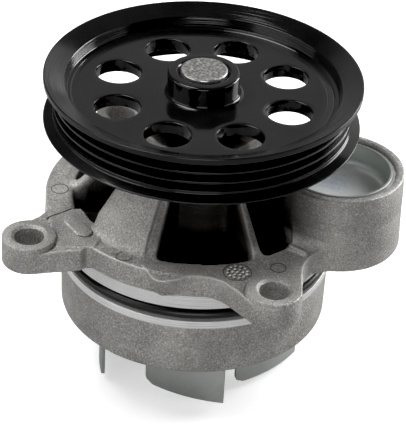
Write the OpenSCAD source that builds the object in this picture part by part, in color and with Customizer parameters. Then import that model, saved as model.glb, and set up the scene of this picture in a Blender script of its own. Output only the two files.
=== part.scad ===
// Engine water pump: cast aluminium housing with a weep reservoir, grooved belt
// pulley, integral shaft bearing, spring loaded face seal and pressed impeller.
// Millimetres, +Z up. The origin is on the shaft axis, in the plane of the
// mounting face of the flange; +Z points at the pulley, -Z at the impeller.

/* [Pulley] */
// Outer radius of both pulley flanges
pulley_r = 54; // [45:0.5:70]
// Height of the top rim of the pulley above the mounting face
pulley_top = 56; // [50:0.5:70]
// Height of the whole pulley rim
rim_h = 17.07; // [14:0.01:30]
// Radius on the crests between the belt grooves
crest_r = 50.7; // [44:0.1:66]
// Number of belt grooves
groove_n = 3; // [2:1:4]
// Distance between neighbouring belt grooves
groove_pitch = 3.56; // [3:0.01:5]
// Depth of one belt groove
groove_depth = 2.7; // [2:0.1:3.5]
// Radius of the wall inside the rim
rim_in_r = 45; // [40:0.5:46]
// Distance of the web's upper face below the top rim
web_drop = 6.6; // [4:0.1:10]
// Thickness of the web
web_t = 4.5; // [3:0.1:6]
// Number of lightening holes
hole_n = 8; // [4:1:10]
// Radius of one lightening hole
hole_r = 7.85; // [5:0.05:9]
// Radius of the circle that the lightening holes lie on
hole_circle = 31.1; // [26:0.1:34]
// Angle of the first lightening hole
hole_turn = 25.1; // [0:0.1:45]
// Outer radius of the hub
hub_r = 12.35; // [11:0.05:15]

/* [Shaft] */
// Radius of the shaft
shaft_r = 7.96; // [7.96:0.01:8]
// Height of the outer shaft end
shaft_top = 58.5; // [57.5:0.1:60]
// Height of the shaft end in the impeller hub
shaft_low = -41; // [-45:0.5:-38]

/* [Flange] */
// Thickness of the flange plate
plate_t = 8.5; // [6:0.5:12]
// Radius of the flange plate
flange_r = 50.3; // [49:0.1:56]
// Height of the ear bosses above the mounting face
ear_h = 10; // [8.5:0.5:14]
// Radius of an ear boss
ear_r = 9.2; // [8:0.1:12]
// Radius of an ear bolt hole
bolt_r = 5; // [4:0.1:6]

/* [Tower] */
// Outer radius of the bearing neck
neck_r = 21.5; // [20:0.5:24]
// Height of the top of the bearing neck
neck_top = 38; // [36:0.5:38.5]
// Radius of the tower cone on the flange plate
cone_r = 43; // [40:0.5:44]
// Height of the pocket floors between the ribs
pocket_z = -2.5; // [-4:0.5:4]

/* [Spigot and skirt] */
// Radius of the machined spigot
spigot_r = 47.8; // [46:0.1:48]
// Radius at the bottom of the sealing ring groove
ring_groove_r = 44.8; // [44:0.1:46]
// Upper edge of the sealing ring groove
ring_groove_top = -6.7; // [-8:0.1:-5]
// Lower edge of the sealing ring groove
ring_groove_low = -12; // [-13:0.1:-10]
// Lower end of the machined spigot
spigot_low = -15.1; // [-18:0.1:-14]
// Radius of the cast skirt under the spigot
skirt_r = 47.5; // [46:0.1:47.7]
// Lower end of the cast skirt
skirt_low = -34.1; // [-40:0.1:-30]
// Radius inside the skirt
skirt_in_r = 43.6; // [42:0.1:45]
// Section radius of the sealing ring
ring_wire = 1.77; // [1.5:0.01:2]

/* [Weep reservoir] */
// Distance of the reservoir axis to the right of the shaft
boss_x = 47.8; // [45:0.1:52]
// Distance of the reservoir axis behind the shaft
boss_y = -8.5; // [-12:0.1:0]
// Outer radius at the foot of the reservoir
boss_r = 23; // [21:0.1:25]
// Outer radius at the mouth of the reservoir
boss_top_r = 22.3; // [21:0.1:24]
// Height of the mouth of the reservoir
boss_h = 28; // [24:0.5:34]
// Radius of the plug's seat
plug_r = 18.4; // [17:0.1:20]
// Depth of the plug
plug_d = 10.6; // [8:0.1:14]

/* [Impeller] */
// Number of blades
blade_n = 5; // [4:1:6]
// Angle between the first two blades, closer than the others
blade_gap = 64; // [60:1:72]
// Height of the blade tips
blade_low = -55.2; // [-60:0.1:-50]
// Radius of the blade's arc
blade_arc = 53.7; // [45:0.1:60]
// Thickness of the pressed sheet
sheet_t = 1.3; // [1:0.1:2]
// Radius of the impeller plate
plate_r = 38.4; // [36:0.1:40]
// Height of the upper face of the impeller plate
plate_z = -29.5; // [-32:0.5:-27]

/* [Bearing] */
// Outer radius of the bearing ring
bearing_r = 15; // [14:0.5:16]
// Lower end of the bearing ring
bearing_low = 5; // [5:0.5:8]
// Number of balls
ball_n = 8; // [7:1:9]
// Radius of a ball
ball_r = 2.9; // [2.5:0.05:3]
// Number of rollers
roller_n = 10; // [9:1:11]

/* [Part] */
// Which piece to draw

/* [Hidden] */
$fn = 96;
e = 0.01;
bearing_top = neck_top + 0.4;
track_r = 10.45;                 // circle through the middles of balls and rollers
ball_z = bearing_top - 9.4;
roller_z = bearing_low + 9.5;
roller_r = 2.42;
roller_l = 11;
chamber_z = 0;                   // lower end of the weep chamber under the bearing
seal_r = 18.25;                  // seat of the face seal
wall_low = -7;                   // coolant side of the closing wall
face_z = -17.5;                  // running face of the seal
cone_top = plate_t + (cone_r - neck_r) * 1.22;
ears = [[-55.4, -33.8], [26.8, -57], [43.5, 36.5], [-30, 50]];
// each pocket between the ribs: first angle and width
pockets = [[-107.6, 45.6], [-57.6, 42.6], [-5, 45], [45, 45], [95, 46], [146, 29.5], [180.5, 32.5]];

// ring with a rectangular section
module ring(ro, ri, z0, z1) {
    rotate_extrude() translate([ri, z0]) square([ro - ri, z1 - z0]);
}

// slice of a ring between two angles
module slice(ri, ro, z0, z1, start, wide) {
    rotate([0, 0, start]) rotate_extrude(angle = wide)
        translate([ri, z0]) square([ro - ri, z1 - z0]);
}

// ---------------------------------------------------------------- housing

// outline of the plate with its two wider parts and its webs to the four ears
module plate_outline() {
    circle(r = flange_r);
    for (w = [[53.2, 140, 55], [52.3, -60, 50]]) intersection() {
        circle(r = w[0]);
        rotate(w[1]) polygon([[0, 0], [80, 0], [80 * cos(w[2]), 80 * sin(w[2])]]);
    }
    // web of the left ear
    polygon([[-53.3, -42.75], [-37.5, -38.9], [-30, -30], [-40, -8], [-52.1, -12.3],
        [-51.9, -16.9], [-53.5, -19.7], [-58.3, -25.1]]);
    // web of the front ear
    polygon([[20, -63.2], [8.3, -50.2], [10, -30], [30, -25], [36.4, -37.2], [36, -57]]);
    // webs of the two rear ears
    for (p = [ears[2], ears[3]]) rotate(atan2(p.y, p.x))
        polygon([[30, -22], [42, -19], [norm(p) - 1, 0.2 - ear_r], [norm(p) - 1, ear_r - 0.2],
            [42, 19], [30, 22]]);
    for (p = ears) translate(p) circle(r = ear_r);
}

module flange_plate() {
    linear_extrude(plate_t) plate_outline();
    // raised rings of the ears
    for (p = ears) translate([p.x, p.y, 1]) cylinder(r = ear_r - 0.15, h = ear_h - 1);
    // small cast lug on the front edge
    translate([-9.6, -49.5, 2.3]) cylinder(r = 5, h = plate_t - 2.3);
    translate([-5.4, -48.6, 2.9]) cylinder(r = 4.3, h = plate_t - 2.9);
    // short bar beside the reservoir
    translate([34.75, -32.8, 4]) rotate([0, 0, -35.4]) translate([-3, -0.9, 0])
        cube([6, 1.8, plate_t - 2.3]);
    // low pad beside the left ear
    linear_extrude(plate_t + 0.4) polygon([[-50, -22.2], [-42.5, -16.4], [-38.7, -17.1],
        [-31.7, -29], [-33, -37], [-46, -38]]);
    // long raised mark on the pad
    translate([-39.75, -25.25, 0]) rotate([0, 0, 35]) {
        translate([-2.6, -4.4, plate_t]) cube([5.2, 8.8, 0.9]);
        for (s = [-4.4, 4.4]) translate([0, s, plate_t]) cylinder(r = 2.6, h = 0.9);
    }
}

// cone around the bearing neck; its pockets are cut later
module tower() {
    rotate_extrude() polygon([[0, 0.5], [cone_r - 2, 0.5], [cone_r + 0.41, plate_t - 0.5],
        [neck_r, cone_top], [neck_r, neck_top - 1], [neck_r - 1, neck_top], [0, neck_top]]);
    // full, slightly bulged part of the cone at the front left
    rotate([0, 0, -147]) rotate_extrude(angle = 34.8)
        polygon([[0, 0.5], [cone_r - 2, 0.5], [cone_r + 0.85, plate_t - 0.5], [cone_r - 2.4, plate_t + 6],
            [cone_r - 8, plate_t + 13.5], [cone_r - 15, plate_t + 20.5], [neck_r, cone_top + 1],
            [0, cone_top + 1]]);
}

module tower_pockets() {
    for (p = pockets) rotate([0, 0, p[0]]) rotate_extrude(angle = p[1])
        polygon([[neck_r - 0.3, pocket_z], [cone_r - 1, pocket_z], [cone_r + 0.5, plate_t + 1],
            [cone_r + 0.5, neck_top + 1], [neck_r - 0.3, neck_top + 1]]);
}

module spigot_and_skirt() {
    rotate_extrude() polygon([[0, wall_low], [41.5, wall_low], [41.5, -16],
        [skirt_in_r, -18.5], [skirt_in_r, skirt_low], [skirt_r - 0.25, skirt_low],
        [skirt_r, spigot_low], [spigot_r, spigot_low], [spigot_r, ring_groove_low],
        [ring_groove_r, ring_groove_low], [ring_groove_r, ring_groove_top],
        [spigot_r, ring_groove_top], [spigot_r, 1.5], [0, 1.5]]);
}

module reservoir_boss() {
    translate([boss_x, boss_y, 0]) {
        cylinder(r1 = boss_r, r2 = boss_top_r, h = boss_h - 0.8);
        translate([0, 0, boss_h - 0.8 - e]) cylinder(r1 = boss_top_r, r2 = boss_top_r - 0.8, h = 0.8 + e);
    }
}

module housing() color([0.56, 0.55, 0.53]) difference() {
    union() {
        difference() {
            union() {
                flange_plate();
                tower();
                spigot_and_skirt();
            }
            tower_pockets();
        }
        reservoir_boss();
    }
    // bearing seat, weep chamber and seat of the face seal
    translate([0, 0, bearing_low]) cylinder(r = bearing_r, h = neck_top);
    translate([0, 0, chamber_z - e]) cylinder(r = 12.8, h = bearing_low + 1);
    translate([0, 0, chamber_z]) mirror([0, 0, 1]) cylinder(r = seal_r, h = 20);
    // lead-in of the bearing seat
    translate([0, 0, neck_top - 0.5]) cylinder(r1 = bearing_r, r2 = bearing_r + 0.8, h = 0.8);
    // hollow of the reservoir, seat of its plug and lead-in
    translate([boss_x, boss_y, 4]) cylinder(r = plug_r - 1.4, h = boss_h);
    translate([boss_x, boss_y, boss_h - plug_d - 0.6]) cylinder(r = plug_r, h = boss_h);
    translate([boss_x, boss_y, boss_h - 1.6]) cylinder(r = plug_r + 1, h = boss_h);
    // weep drilling from the chamber to the reservoir
    rotate([0, 0, atan2(boss_y, boss_x)]) translate([10, 0, 2.2]) rotate([0, 79.2, 0])
        cylinder(r = 1.8, h = 24);
    // bolt holes with a small countersink
    for (p = ears) translate([p.x, p.y, -1]) {
        cylinder(r = bolt_r, h = ear_h + 2);
        translate([0, 0, ear_h + 0.2]) cylinder(r1 = bolt_r, r2 = bolt_r + 0.9, h = 0.9);
    }
    // round marks left by the mould's pins
    translate([-48.7, -2.4, plate_t - 0.3]) cylinder(r = 3.1, h = 1);
    translate([27.9, -43.2, plate_t - 0.3]) cylinder(r = 2.2, h = 1);
    translate([14.7, -46.7, plate_t - 0.3]) cylinder(r = 5.2, h = 1);
}

module spigot_o_ring() color([0.05, 0.05, 0.05])
    translate([0, 0, (ring_groove_top + ring_groove_low) / 2])
        rotate_extrude() translate([ring_groove_r + ring_wire, 0]) circle(r = ring_wire, $fn = 32);

// pressed cup with a rounded foot
module reservoir_plug() color([0.68, 0.71, 0.70])
    translate([boss_x, boss_y, boss_h - 0.6 - plug_d])
        rotate_extrude() difference() {
            union() {
                translate([0, 3.4]) square([plug_r, plug_d - 3.4]);
                square([plug_r - 3.4, 4]);
                translate([plug_r - 3.4, 3.4]) circle(r = 3.4, $fn = 48);
            }
            translate([0, 3.4]) square([plug_r - 1.2, plug_d]);
            translate([0, 1.2]) square([plug_r - 3.4, 4]);
            translate([plug_r - 3.4, 3.4]) circle(r = 2.2, $fn = 48);
            translate([-10, -1]) square([10, plug_d + 4]);
        }

// ---------------------------------------------------------------- bearing

module bearing_outer_ring() color([0.72, 0.73, 0.74]) difference() {
    translate([0, 0, bearing_low]) cylinder(r = bearing_r, h = bearing_top - bearing_low);
    translate([0, 0, bearing_low - 1]) cylinder(r = 12.5, h = bearing_top);
    // roller track
    translate([0, 0, roller_z - roller_l / 2 - 0.4]) cylinder(r = track_r + roller_r + 0.06, h = roller_l + 0.8);
    // ball track
    translate([0, 0, ball_z]) rotate_extrude() translate([track_r, 0]) circle(r = ball_r + 0.12, $fn = 48);
}

module bearing_seal(z0) difference() {
    translate([0, 0, z0]) cylinder(r = 12.5, h = 2);
    translate([0, 0, z0 - 1]) cylinder(r = 8.9, h = 4);
    translate([0, 0, z0 + 0.6]) cylinder(r1 = 8.9, r2 = 9.9, h = 1.5);
}

module bearing_seal_front() color([0.10, 0.10, 0.10]) union() {
    bearing_seal(bearing_top - 2.4);
    ring(9.4, shaft_r + 0.08, bearing_top - 2.4, bearing_top - 1.9);
}

module bearing_seal_rear() color([0.10, 0.10, 0.10]) union() {
    translate([0, 0, 2 * bearing_low + 2.8]) mirror([0, 0, 1]) bearing_seal(bearing_low + 0.4);
    ring(9.4, shaft_r + 0.08, bearing_low + 1.9, bearing_low + 2.4);
}

module bearing_balls() color([0.80, 0.80, 0.82])
    for (k = [0 : ball_n - 1]) rotate([0, 0, k * 360 / ball_n])
        translate([track_r, 0, ball_z]) sphere(r = ball_r, $fn = 32);

module ball_cage() color([0.30, 0.26, 0.20]) difference() {
    ring(track_r + 1.1, track_r - 1.1, ball_z - 2.6, ball_z + 3.6);
    for (k = [0 : ball_n - 1]) rotate([0, 0, k * 360 / ball_n])
        translate([track_r, 0, ball_z]) sphere(r = ball_r + 0.15, $fn = 32);
}

module bearing_rollers() color([0.80, 0.80, 0.82])
    for (k = [0 : roller_n - 1]) rotate([0, 0, k * 360 / roller_n])
        translate([track_r, 0, roller_z - roller_l / 2]) cylinder(r = roller_r, h = roller_l, $fn = 32);

module roller_cage() color([0.30, 0.26, 0.20]) difference() {
    ring(track_r + 0.9, track_r - 0.9, roller_z - roller_l / 2 - 1.3, roller_z + roller_l / 2 + 1.3);
    for (k = [0 : roller_n - 1]) rotate([0, 0, k * 360 / roller_n])
        translate([track_r, 0, roller_z - roller_l / 2 - 0.15]) cylinder(r = roller_r + 0.12, h = roller_l + 0.3, $fn = 32);
}

// ---------------------------------------------------------------- rotor

module shaft() color([0.62, 0.62, 0.61]) difference() {
    union() {
        translate([0, 0, shaft_low + 0.6]) cylinder(r = shaft_r, h = shaft_top - shaft_low - 1.1);
        translate([0, 0, shaft_low]) cylinder(r1 = shaft_r - 0.6, r2 = shaft_r, h = 0.6);
        translate([0, 0, shaft_top - 0.5]) cylinder(r1 = shaft_r, r2 = shaft_r - 0.5, h = 0.5);
    }
    translate([0, 0, ball_z]) rotate_extrude() translate([track_r, 0]) circle(r = ball_r + 0.12, $fn = 48);
}

module pulley() color([0.06, 0.06, 0.07]) difference() {
    rotate_extrude() difference() {
        union() {
            // rim with its two flanges
            polygon([[rim_in_r, pulley_top - rim_h], [pulley_r, pulley_top - rim_h],
                [pulley_r, pulley_top - rim_h + 0.57], [crest_r, pulley_top - rim_h + 1.85],
                [crest_r, pulley_top - 3.25], [pulley_r, pulley_top - 1.97], [pulley_r, pulley_top - 0.15],
                [pulley_r - 0.15, pulley_top], [pulley_r - 0.5, pulley_top], [47, pulley_top - 2.5],
                [46.8, pulley_top - 2.9], [46.2, pulley_top - 6], [45.8, pulley_top - 6.25],
                [44.9, pulley_top - 6.3], [44.5, pulley_top - web_drop], [43.4, pulley_top - web_drop],
                [rim_in_r - 2, pulley_top - web_drop - web_t], [rim_in_r, pulley_top - web_drop - web_t]]);
            // web and hub
            translate([hub_r, pulley_top - web_drop - web_t]) square([rim_in_r - hub_r - 1.4, web_t]);
            polygon([[shaft_r, 41], [hub_r + 0.6, 41], [hub_r + 1.6, 42], [hub_r + 1.6, 46],
                [hub_r + 1.6, pulley_top - web_drop], [hub_r + 0.45, pulley_top - web_drop + 0.45],
                [hub_r, pulley_top - web_drop + 1.6], [hub_r, pulley_top + 0.9],
                [hub_r - 0.5, pulley_top + 1.4], [shaft_r + 1.3, pulley_top + 1.4], [shaft_r, pulley_top + 0.1]]);
        }
        // belt grooves
        for (k = [0 : groove_n - 1]) translate([crest_r, pulley_top - 5.68 - k * groove_pitch])
            polygon([[0.1, -1.36], [0.1, 1.36], [-groove_depth, 0.35], [-groove_depth, -0.35]]);
    }
    // lightening holes
    for (k = [0 : hole_n - 1]) rotate([0, 0, hole_turn + k * 360 / hole_n])
        translate([hole_circle, 0, pulley_top - web_drop - web_t - 1]) cylinder(r = hole_r, h = web_t + 2, $fn = 64);
}

// turn of a blade about the shaft; the spacing is uneven, so the blades don't whine
function blade_turn(k) = k == 0 ? 0
    : blade_gap + (k - 1) * (360 - 360 / blade_n - blade_gap) / (blade_n - 2);

// one curved blade, bent down from the plate, with a rounded lower corner
module blade() difference() {
    translate([16.6, 16.9, 0]) rotate([0, 0, -126.1]) rotate_extrude(angle = 32.4)
        translate([blade_arc - sheet_t, blade_low]) square([sheet_t, plate_z - blade_low - 0.2]);
    // rounded lower corner at the inner end
    translate([16.6, 16.9, 0]) rotate([0, 0, -126.1]) translate([blade_arc, 0, blade_low])
        rotate([90, 0, 0]) translate([0, 0, -3.2]) difference() {
            translate([-4, -1, -0.1]) cube([6, 4.2, 3.4]);
            translate([-5, 3.2, 0]) rotate([0, 90, 0]) cylinder(r = 3.2, h = 8, $fn = 48);
        }
}

module impeller() color([0.58, 0.60, 0.58]) difference() {
    union() {
        translate([0, 0, plate_z - 1.5]) cylinder(r = plate_r, h = 1.5);
        for (k = [0 : blade_n - 1]) rotate([0, 0, blade_turn(k)]) blade();
    }
    translate([0, 0, plate_z - 3]) cylinder(r = 12.5, h = 5);
}

module impeller_hub() color([0.45, 0.46, 0.46]) union() {
    ring(12.5, shaft_r, shaft_low + 1, face_z - 6.2);
    ring(15, 12.5 - e, plate_z - 3.2, plate_z - 1.5);
}

// ---------------------------------------------------------------- face seal

module seal_cup() color([0.72, 0.62, 0.36]) rotate_extrude() polygon([[10.2, -1], [seal_r - 1, -1],
    [seal_r - 1, wall_low - 1], [seal_r + 2.2, wall_low - 1], [seal_r + 2.2, wall_low],
    [seal_r, wall_low], [seal_r, 0], [10.2, 0]]);

module seal_bellows() color([0.09, 0.09, 0.09]) rotate_extrude() polygon([[9.4, -2.2], [16, -2.2],
    [16, -1], [8.9, -1], [8.9, -6], [9.9, -8], [8.9, -10], [8.9, face_z + 4.2], [13, face_z + 4.2],
    [13, face_z + 5.2], [10, face_z + 5.2], [10.1, -10], [11.2, -8], [10.1, -6.2], [10.1, -3.2]]);

// coil spring of round wire
module seal_spring() color([0.62, 0.62, 0.60]) {
    turns = 2.5;
    steps = 60;
    side = 8;
    mid = 14.2;
    wire = 0.75;
    z0 = face_z + 6.3;
    z1 = -3.1;
    points = [for (i = [0 : steps]) for (j = [0 : side - 1])
        let (a = 360 * turns * i / steps, b = 360 * j / side, r = mid + wire * cos(b))
        [r * cos(a), r * sin(a), z0 + (z1 - z0) * i / steps + wire * sin(b)]];
    walls = [for (i = [0 : steps - 1]) for (j = [0 : side - 1])
        [i * side + j, i * side + (j + 1) % side, (i + 1) * side + (j + 1) % side, (i + 1) * side + j]];
    ends = [[for (j = [side - 1 : -1 : 0]) j], [for (j = [0 : side - 1]) steps * side + j]];
    polyhedron(points = points, faces = [for (f = concat(walls, ends)) [for (k = [len(f) - 1 : -1 : 0]) f[k]]]);
}

module seal_collar() color([0.70, 0.70, 0.68]) rotate_extrude() polygon([[13.2, face_z + 5.5],
    [15.6, face_z + 5.5], [15.6, face_z + 4.5], [14.2, face_z + 4.5], [14.2, face_z + 1.4],
    [13.2, face_z + 1.4]]);

module seal_carbon_ring() color([0.13, 0.13, 0.14]) rotate_extrude() polygon([[9.2, face_z + 4.2],
    [13.1, face_z + 4.2], [13.1, face_z + 1], [12, face_z + 1], [12, face_z], [9.9, face_z],
    [9.2, face_z + 0.7]]);

module seal_mating_ring() color([0.85, 0.84, 0.80]) ring(13.4, 9.4, face_z - 4.2, face_z - 0.05);

module seal_mating_boot() color([0.08, 0.08, 0.08]) rotate_extrude() polygon([[shaft_r, face_z - 6.2],
    [14.8, face_z - 6.2], [14.8, face_z - 1.6], [13.4, face_z - 1.6], [13.4, face_z - 4.2],
    [9.4, face_z - 4.2], [9.4, face_z - 1.6], [shaft_r, face_z - 1.6]]);

housing();
spigot_o_ring();
reservoir_plug();
bearing_outer_ring();
bearing_seal_front();
bearing_seal_rear();
bearing_balls();
ball_cage();
bearing_rollers();
roller_cage();
shaft();
pulley();
impeller();
impeller_hub();
seal_cup();
seal_bellows();
seal_spring();
seal_collar();
seal_carbon_ring();
seal_mating_ring();
seal_mating_boot();
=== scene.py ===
import math

import bmesh
import bpy
import numpy as np
from mathutils import Matrix, Vector


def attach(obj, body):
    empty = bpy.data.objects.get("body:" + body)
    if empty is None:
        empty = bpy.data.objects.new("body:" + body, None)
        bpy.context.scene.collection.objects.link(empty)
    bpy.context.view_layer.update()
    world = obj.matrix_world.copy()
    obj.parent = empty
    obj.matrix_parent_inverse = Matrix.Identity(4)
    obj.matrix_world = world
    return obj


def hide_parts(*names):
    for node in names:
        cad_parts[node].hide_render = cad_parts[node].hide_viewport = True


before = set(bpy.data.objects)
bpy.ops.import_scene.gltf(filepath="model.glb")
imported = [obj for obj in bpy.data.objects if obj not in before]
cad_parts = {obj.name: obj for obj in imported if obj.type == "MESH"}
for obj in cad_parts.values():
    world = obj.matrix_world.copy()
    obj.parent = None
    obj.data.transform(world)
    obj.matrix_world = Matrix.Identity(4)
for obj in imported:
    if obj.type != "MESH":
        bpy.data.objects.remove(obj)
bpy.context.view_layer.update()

MM = 0.001

# ------------------------------------------------------------------ numbers
# Sizes in millimetres, angles in degrees; the shaft is the Z axis, the mounting face z = 0.
PLATE_T, EDGE = 8.5, 0.5
FLANGE_R = 50.3
# the rim's two wider parts: radius, first angle, width
LOBES = [(53.1, 150, 47), (52.3, -60, 50)]
EAR_H, EAR_R, BOLT_R = 10.0, 9.2, 5.0
EARS = [(-55.4, -33.8), (26.8, -57.0), (43.5, 36.5), (-30.0, 50.0)]
# webs of the two front ears, and how softly each joins the flange
FRONT_WEBS = [
    ([(-53.3, -42.75), (-37.5, -38.9), (-30, -30), (-40, -8), (-51.9, -12.0),
      (-51.6, -16.6), (-53.3, -19.5), (-58.3, -25.1)], 1.6),
    ([(20, -63.2), (8.3, -50.2), (10, -30), (30, -25), (36.4, -37.2), (36, -57)], 5.0)]
LUG = [(-16.6, -45), (-15.0, -49.6), (-13.2, -52.8), (-11, -54.3), (-8.4, -54.3), (-5.0, -53),
       (-1.5, -50.9), (2.5, -49.6), (2, -44)]
PAD = [(-50.2, -20.8), (-42.8, -14.9), (-39.7, -14.2), (-38.5, -15.8), (-35.7, -21.1),
       (-32.4, -25.2), (-30.8, -29.8), (-33, -37), (-46, -38)]
PAD_H, BAR_H = 0.35, 1.7
NECK_R, NECK_TOP = 21.5, 38.0
CONE_R, CONE_SLOPE = 43.0, 1.22
CONE_TOP = PLATE_T + (CONE_R - NECK_R) * CONE_SLOPE
POCKET_Z = -2.5
# pockets between the ribs: first angle, width
POCKETS = [(-107.6, 45.6), (-57.6, 42.6), (-5, 45), (45, 45), (95, 46), (146, 29.5), (180.5, 31.0)]
BULGE = (-151.0, -112.2)
BOSS = (47.8, -8.5)
BOSS_R, BOSS_TOP_R, BOSS_H = 23.0, 22.3, 28.0
PLUG_R, PLUG_D, PLUG_SINK, PLUG_WALL = 18.4, 10.6, 0.6, 1.2
STAIN = (46.6, -3.0)
BEARING_R, SEAL_R = 15.0, 18.25
SPIGOT_R, SPIGOT_LOW = 47.8, -15.1
GROOVE_R, GROOVE_TOP, GROOVE_LOW = 44.8, -6.7, -12.0
SKIRT_R, SKIRT_LOW, SKIRT_IN, CHAMBER_Z = 47.5, -34.1, 43.6, -7
RING_WIRE = 1.77
# generic cast marks: pin circles (centre, radius), the dotted disc, the long mark (ends, radius)
MARKS = [((-48.1, -2.2), 3.0), ((28.2, -42.8), 2.6), ((-23.0, -41.2), 2.6)]
DOTTED, DOTTED_R = (14.7, -46.7), 4.7
MARK_FOOT = 0.3
PAD_MARK = ((-42.3, -21.6), (-37.2, -28.9), 2.6)
PULLEY_R, PULLEY_TOP, RIM_H, CREST_R = 54.0, 56.0, 17.07, 50.7
RIM_IN_R, WEB_DROP, WEB_T, HUB_R = 45.0, 6.6, 4.5, 12.35
HUB_LOW, HUB_FOOT, HUB_RISE = 41, 42, 1.4
WEB_IN_R, WEB_OUT_R = 15.4, 42.6
HOLE_N, HOLE_R, HOLE_CIRCLE, HOLE_TURN, HOLE_LIP = 8, 7.85, 31.1, 25.1, 0.35
GROOVE_PITCH, GROOVE_DEPTH, GROOVE_N, GROOVE_FIRST = 3.56, 2.7, 3, 5.68
GROOVE_HALF, GROOVE_FLOOR = 1.36, 0.35
SHAFT_R, SHAFT_LOW, SHAFT_TOP = 7.96, -41.0, 58.5
BLADE_N, BLADE_GAP, BLADE_LOW, BLADE_ARC, SHEET_T = 5, 64.0, -55.2, 53.7, 1.3
BLADE_C, BLADE_A0, BLADE_SPAN, BLADE_CORNER = (16.6, 16.9), -126.1, 32.4, 3.2
PLATE_R, PLATE_IN_R, PLATE_Z, PLATE_SHEET = 38.4, 12.5, -29.5, 1.5
FLOOR_Z, FLOOR_GLOW = -57.5, 0.45


# ------------------------------------------------------------------ mesh help
def new_object(name, verts, faces, body, slot, sharp=None):
    """Smooth piece that rides on a body, from vertices in mm; sharp is the crease angle."""
    me = bpy.data.meshes.new(name)
    points = [tuple(v) for v in np.asarray(verts, float) * MM]
    me.from_pydata(points, [], [tuple(f) for f in faces])
    me.validate()
    me.update()
    ob = bpy.data.objects.new(name, me)
    bpy.context.scene.collection.objects.link(ob)
    me.polygons.foreach_set("use_smooth", [True] * len(me.polygons))
    if sharp is not None:
        me.set_sharp_from_angle(angle=math.radians(sharp))
    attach(ob, body)
    return ob


def arc_corner(p0, p1, p2, r, n):
    """Points of a round of radius r at the corner p1."""
    p0, p1, p2 = map(np.array, (p0, p1, p2))
    u, v = p0 - p1, p2 - p1
    lu, lv = np.linalg.norm(u), np.linalg.norm(v)
    u, v = u / lu, v / lv
    cosang = np.clip(np.dot(u, v), -1, 1)
    ang = math.acos(cosang)
    if r <= 0 or ang > math.radians(178):
        return [tuple(p1)]
    t = min(r / math.tan(ang / 2), lu * 0.49, lv * 0.49)
    r = t * math.tan(ang / 2)
    a, b = p1 + u * t, p1 + v * t
    c = p1 + (u + v) / np.linalg.norm(u + v) * (r / math.sin(ang / 2))
    a0, a1 = math.atan2(*(a - c)[::-1]), math.atan2(*(b - c)[::-1])
    d = (a1 - a0 + math.pi) % (2 * math.pi) - math.pi
    turns = [a0 + d * i / n for i in range(n + 1)]
    return [(c[0] + r * math.cos(t), c[1] + r * math.sin(t)) for t in turns]


def rounded(profile, n=3, closed=True):
    """Profile of (r, z, radius of the corner, if any), as a list of (r, z)."""
    out = []
    m = len(profile)
    for i, p in enumerate(profile):
        rad = p[2] if len(p) > 2 else 0
        if not closed and i in (0, m - 1):
            out.append((p[0], p[1]))
            continue
        out += arc_corner(profile[i - 1][:2], p[:2], profile[(i + 1) % m][:2], rad, n)
    return out


def revolve(profile, seg=192, closed=True, centre=(0, 0)):
    """Vertices and faces of a turned solid. Points with r = 0 are joined."""
    verts, faces, rows = [], [], []
    for r, z in profile:
        if r < 1e-6:
            rows.append([len(verts)] * seg)
            verts.append((centre[0], centre[1], z))
        else:
            rows.append(list(range(len(verts), len(verts) + seg)))
            for k in range(seg):
                a = 2 * math.pi * k / seg
                verts.append((centre[0] + r * math.cos(a), centre[1] + r * math.sin(a), z))
    m = len(rows)
    for i in range(m if closed else m - 1):
        a, b = rows[i], rows[(i + 1) % m]
        for k in range(seg):
            q = [a[k], a[(k + 1) % seg], b[(k + 1) % seg], b[k]]
            q = [v for j, v in enumerate(q) if v not in q[:j]]
            if len(q) > 2:
                faces.append(q)
    return verts, faces


def lathe(name, profile, body, slot, seg, closed=True, centre=(0, 0), n=3, sharp=40):
    """Turned piece; n is the number of steps in each round."""
    v, f = revolve(rounded(profile, n, closed), seg, closed, centre)
    ob = new_object(name, v, f, body, slot, sharp)
    outward(ob)
    return ob


def outward(ob, weld=0.0):
    """Turn all faces outward, after joining vertices closer than weld metres."""
    bm = bmesh.new()
    bm.from_mesh(ob.data)
    if weld:
        bmesh.ops.remove_doubles(bm, verts=bm.verts[:], dist=weld)
    bmesh.ops.recalc_face_normals(bm, faces=bm.faces[:])
    bm.to_mesh(ob.data)
    bm.free()


# ------------------------------------------------------------------ fields
def smin(a, b, k):
    h = np.maximum(k - np.abs(a - b), 0) / k
    return np.minimum(a, b) - h * h * (k * 0.25)


def smax(a, b, k):
    return -smin(-a, -b, k)


def poly2(x, y, pts):
    """Signed distance to a polygon."""
    pts = np.asarray(pts, float)
    d = np.full(np.broadcast(x, y).shape, 1e9)
    s = np.zeros(d.shape, bool)
    n = len(pts)
    for i in range(n):
        (ax, ay), (bx, by) = pts[i], pts[(i + 1) % n]
        ex, ey = bx - ax, by - ay
        wx, wy = x - ax, y - ay
        t = np.clip((wx * ex + wy * ey) / (ex * ex + ey * ey), 0, 1)
        d = np.minimum(d, (wx - ex * t) ** 2 + (wy - ey * t) ** 2)
        c1, c2 = y >= ay, y < by
        side = ex * wy > ey * wx
        s ^= (c1 & c2 & side) | (~c1 & ~c2 & ~side)
    d = np.sqrt(d)
    return np.where(s, -d, d)


def disc(x, y, c, r):
    return np.sqrt((x - c[0]) ** 2 + (y - c[1]) ** 2) - r


def plank(x, y, a, b, r):
    """Distance to a line from a to b, with round ends of radius r."""
    ex, ey = b[0] - a[0], b[1] - a[1]
    t = np.clip(((x - a[0]) * ex + (y - a[1]) * ey) / (ex * ex + ey * ey), 0, 1)
    return np.sqrt((x - a[0] - ex * t) ** 2 + (y - a[1] - ey * t) ** 2) - r


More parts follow.
